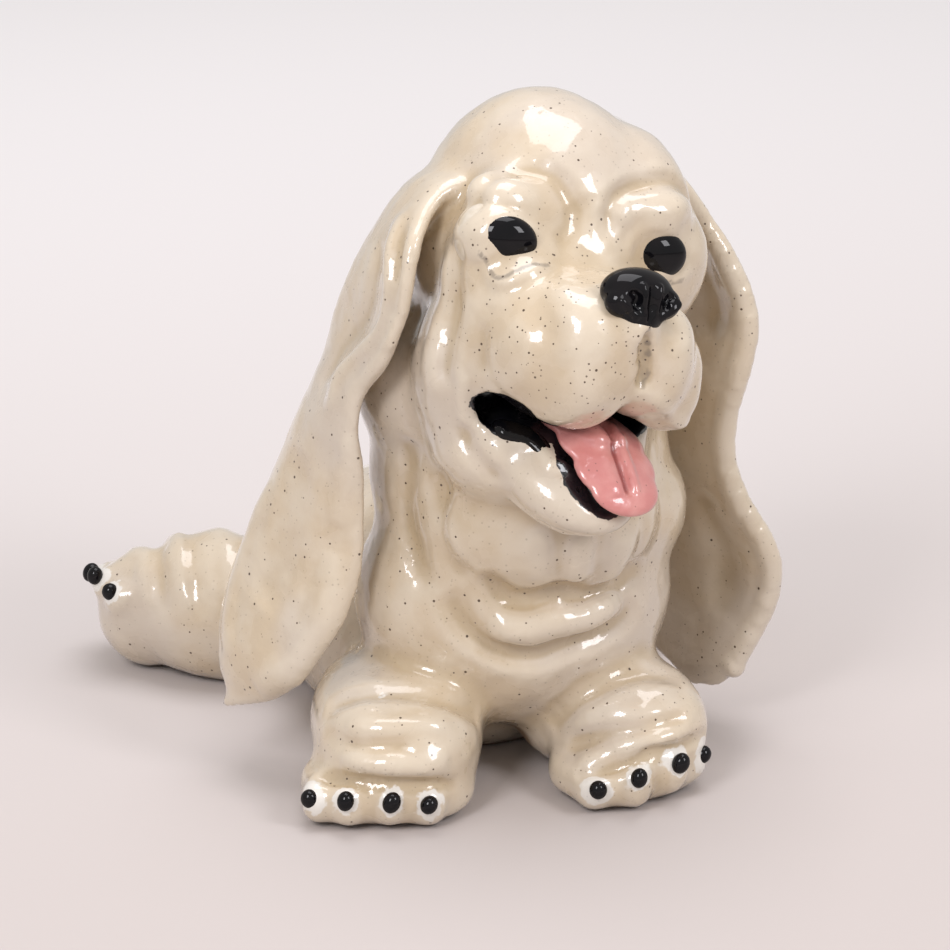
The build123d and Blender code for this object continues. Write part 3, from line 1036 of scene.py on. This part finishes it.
# the dark strip between the lower lip and the tongue
gumLine = [(-25, -41, -50.5), (-19, -45, -51.5), (-15.5, -50, -55), (-13, -55, -59.5), (-10.5, -59, -63)]
gumForms = [("head", tuple(place), (3.4, 4.4, 2.6), (20, 0, 0)) for place in catmull(gumLine, 4)]
sculpt("gumStrip", gumForms, fineness, mouthBlack, 3, 10).finish()

for name, places in clawPlaces.items():
    forms = []
    for i, place in enumerate(places):  # no two claws quite alike
        halfSizes = (2.7 - 0.15 * (i % 2), 2.6, 2.9 + 0.2 * (i % 3))
        forms.append(("body", place, halfSizes, (0, 12 * i, 8 * i - 12)))
    sculpt(f"{name}_claws", forms, fineness, black, 2).finish()
print("small pieces")

for name, ob in made.items():
    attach(ob, "root")
    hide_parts("mouth_pocket" if name == "gumStrip" else name)

# floor, light and camera
bpy.ops.mesh.primitive_plane_add(size=6, location=(0, 0, 0))
floor = bpy.context.object
floor.name = "floor"
paper = Glaze("paper")
depthInto = paper.node("ShaderNodeSeparateXYZ", {}, {0: paper.place}).wire("Y")
# the floor's colour runs from dark near the camera to light far away: painted shade near, painted light
# far
nearPaintedShade, farPaintedLight = (0.500, 0.450, 0.430), (0.960, 0.940, 0.950)
paper.set(Base_Color=paper.blend(depthInto.between(-0.35, 1.4), nearPaintedShade, farPaintedLight))
paper.set(Roughness=0.85)
floor.data.materials.append(paper.material)

studio = {"sky": (0.89, 0.86, 0.84, 1), "skyStrength": 0.7, "lampColour": (0.97, 0.96, 1.0)}
world = bpy.data.worlds.new("studio")
bpy.context.scene.world = world
world.use_nodes = True
sky = world.node_tree.nodes["Background"]
sky.inputs["Color"].default_value = studio["sky"]
sky.inputs["Strength"].default_value = studio["skyStrength"]


def addLight(name, place, aim, size, power):
    bpy.ops.object.light_add(type="AREA", location=place)
    lamp = bpy.context.object
    lamp.name = name
    lamp.data.shape = "RECTANGLE"
    lamp.data.size, lamp.data.size_y = size
    lamp.data.energy = power
    lamp.data.color = studio["lampColour"]
    lamp.rotation_euler = (Vector(aim) - Vector(place)).to_track_quat("-Z", "Y").to_euler()


addLight("leftBox", (-0.9, -1.0, 1.0), (0, 0, 0.1), (0.45, 0.6), 12)
addLight("rightBox", (0.75, -1.1, 1.0), (0, 0, 0.1), (0.45, 0.6), 9)
addLight("topBox", (0.1, 0.1, 1.4), (0, -0.05, 0.1), (0.9, 0.9), 10)

cameraSet = {
    "azimuth": -15,
    "elevation": 17,
    "distance": 1.1,
    "aim": (0.004, -0.025, 0.1),
    "lens": 135.8,
    "shift": (-0.0179, -0.0505),
}
az, el = math.radians(cameraSet["azimuth"]), math.radians(cameraSet["elevation"])
backwards = Vector((math.sin(az) * math.cos(el), -math.cos(az) * math.cos(el), math.sin(el)))
bpy.ops.object.camera_add(location=Vector(cameraSet["aim"]) + backwards * cameraSet["distance"])
camera = bpy.context.object
camera.rotation_euler = (-backwards).to_track_quat("-Z", "Y").to_euler()
camera.data.lens = cameraSet["lens"]
camera.data.shift_x, camera.data.shift_y = cameraSet["shift"]
bpy.context.scene.camera = camera
bpy.context.scene.view_settings.view_transform = "Standard"
